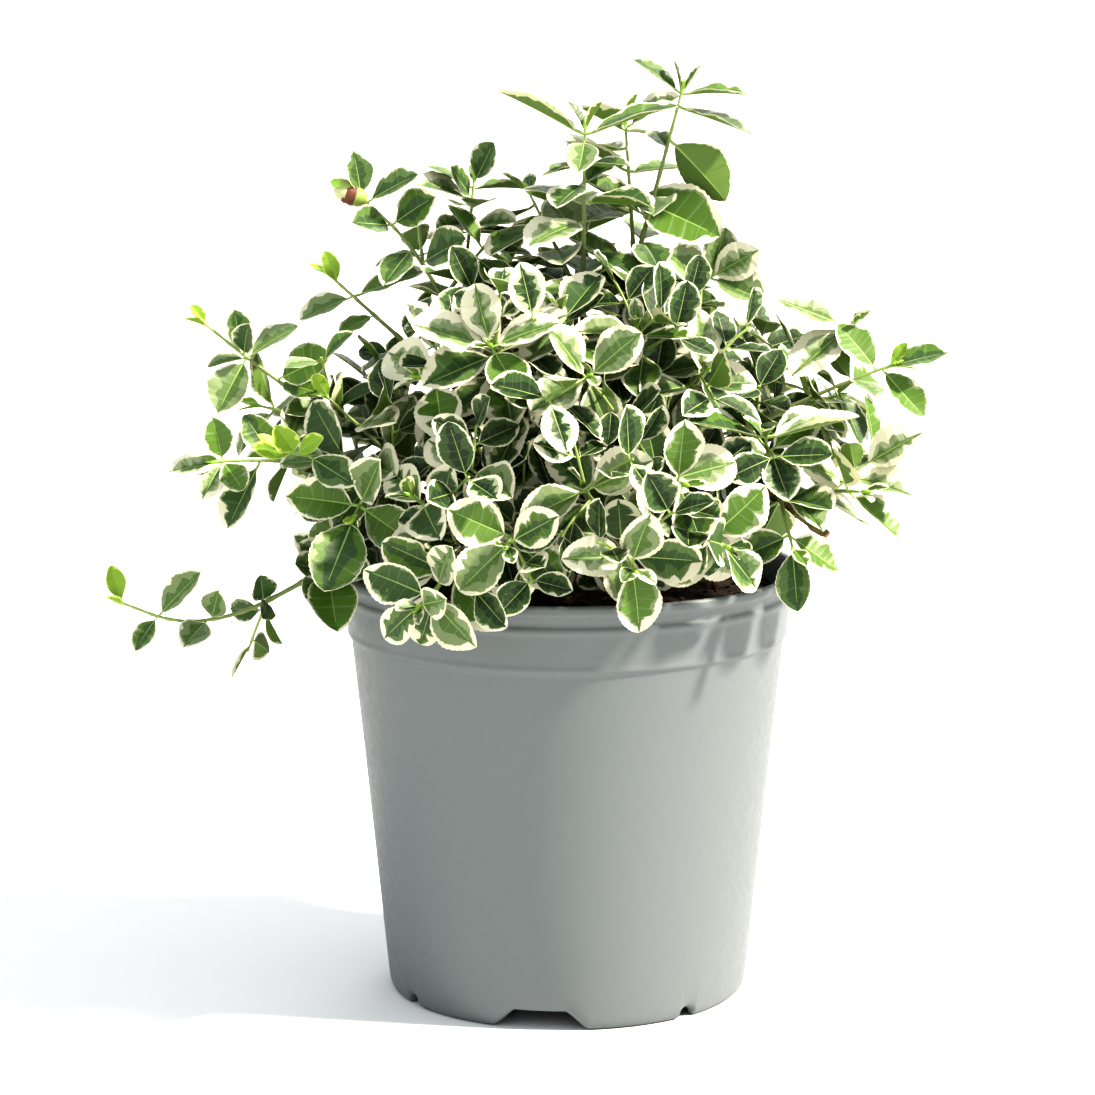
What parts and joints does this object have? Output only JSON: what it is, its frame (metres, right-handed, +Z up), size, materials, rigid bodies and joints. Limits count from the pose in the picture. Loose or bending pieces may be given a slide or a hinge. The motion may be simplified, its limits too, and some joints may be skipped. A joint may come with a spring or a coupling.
{
  "type": "variegated wintercreeper euonymus in a nursery pot",
  "caption": "Low evergreen shrub with cream-edged green leaves on spreading stems, standing in a round grey plastic nursery pot.",
  "frame": {"origin": "on the plane the pot stands on, under the middle of the whole plant's outline seen from above; the pot's own axis lies about 14 mm to the side of it", "axes": "+Z up along the pot's axis, -Y towards the side with the wide cream-edged rosettes, +X away from the long trailing shoot"},
  "size_m": [0.3002, 0.2382, 0.3419],
  "materials": {
    "pot_plastic": "smooth moulded, slight sheen",
    "compost": "dark and crumbly",
    "bark": "fine grey-brown bark",
    "leaf": "waxy, green with cream margins"
  },
  "bodies": {
    "root": {"bough_back_high": "bark", "bough_back_left": "bark", "bough_back_low": "bark", "bough_back_mid": "bark", "bough_back_right": "bark", "bough_back_right_high": "bark", "bough_centre": "bark", "bough_centre_left": "bark", "bough_centre_right": "bark", "bough_front_left": "bark", "bough_front_mid": "bark", "bough_front_mid_left": "bark", "bough_front_right": "bark", "bough_left_bud": "bark", "bough_left_high": "bark", "bough_left_low": "bark", "bough_left_mid": "bark", "bough_left_trail": "bark", "bough_right_front": "bark", "bough_right_high": "bark", "bough_right_low": "bark", "bough_right_stub": "bark", "bough_right_tip": "bark", "bough_right_upper": "bark", "bough_top_left": "bark", "bough_top_right": "bark", "bough_upper_left": "bark", "compost": "compost", "foliage_back_high": "leaf", "foliage_back_left": "leaf", "foliage_back_low": "leaf", "foliage_back_mid": "leaf", "foliage_back_right": "leaf", "foliage_back_right_high": "leaf", "foliage_centre": "leaf", "foliage_centre_left": "leaf", "foliage_centre_right": "leaf", "foliage_front_left": "leaf", "foliage_front_mid": "leaf", "foliage_front_mid_left": "leaf", "foliage_front_right": "leaf", "foliage_left_bud": "leaf", "foliage_left_high": "leaf", "foliage_left_low": "leaf", "foliage_left_mid": "leaf", "foliage_left_trail": "leaf", "foliage_right_front": "leaf", "foliage_right_high": "leaf", "foliage_right_low": "leaf", "foliage_right_tip": "leaf", "foliage_right_upper": "leaf", "foliage_top_left": "leaf", "foliage_top_right": "leaf", "foliage_upper_left": "leaf", "pot": "pot_plastic", "trunk": "bark"}
  },
  "joints": []
}
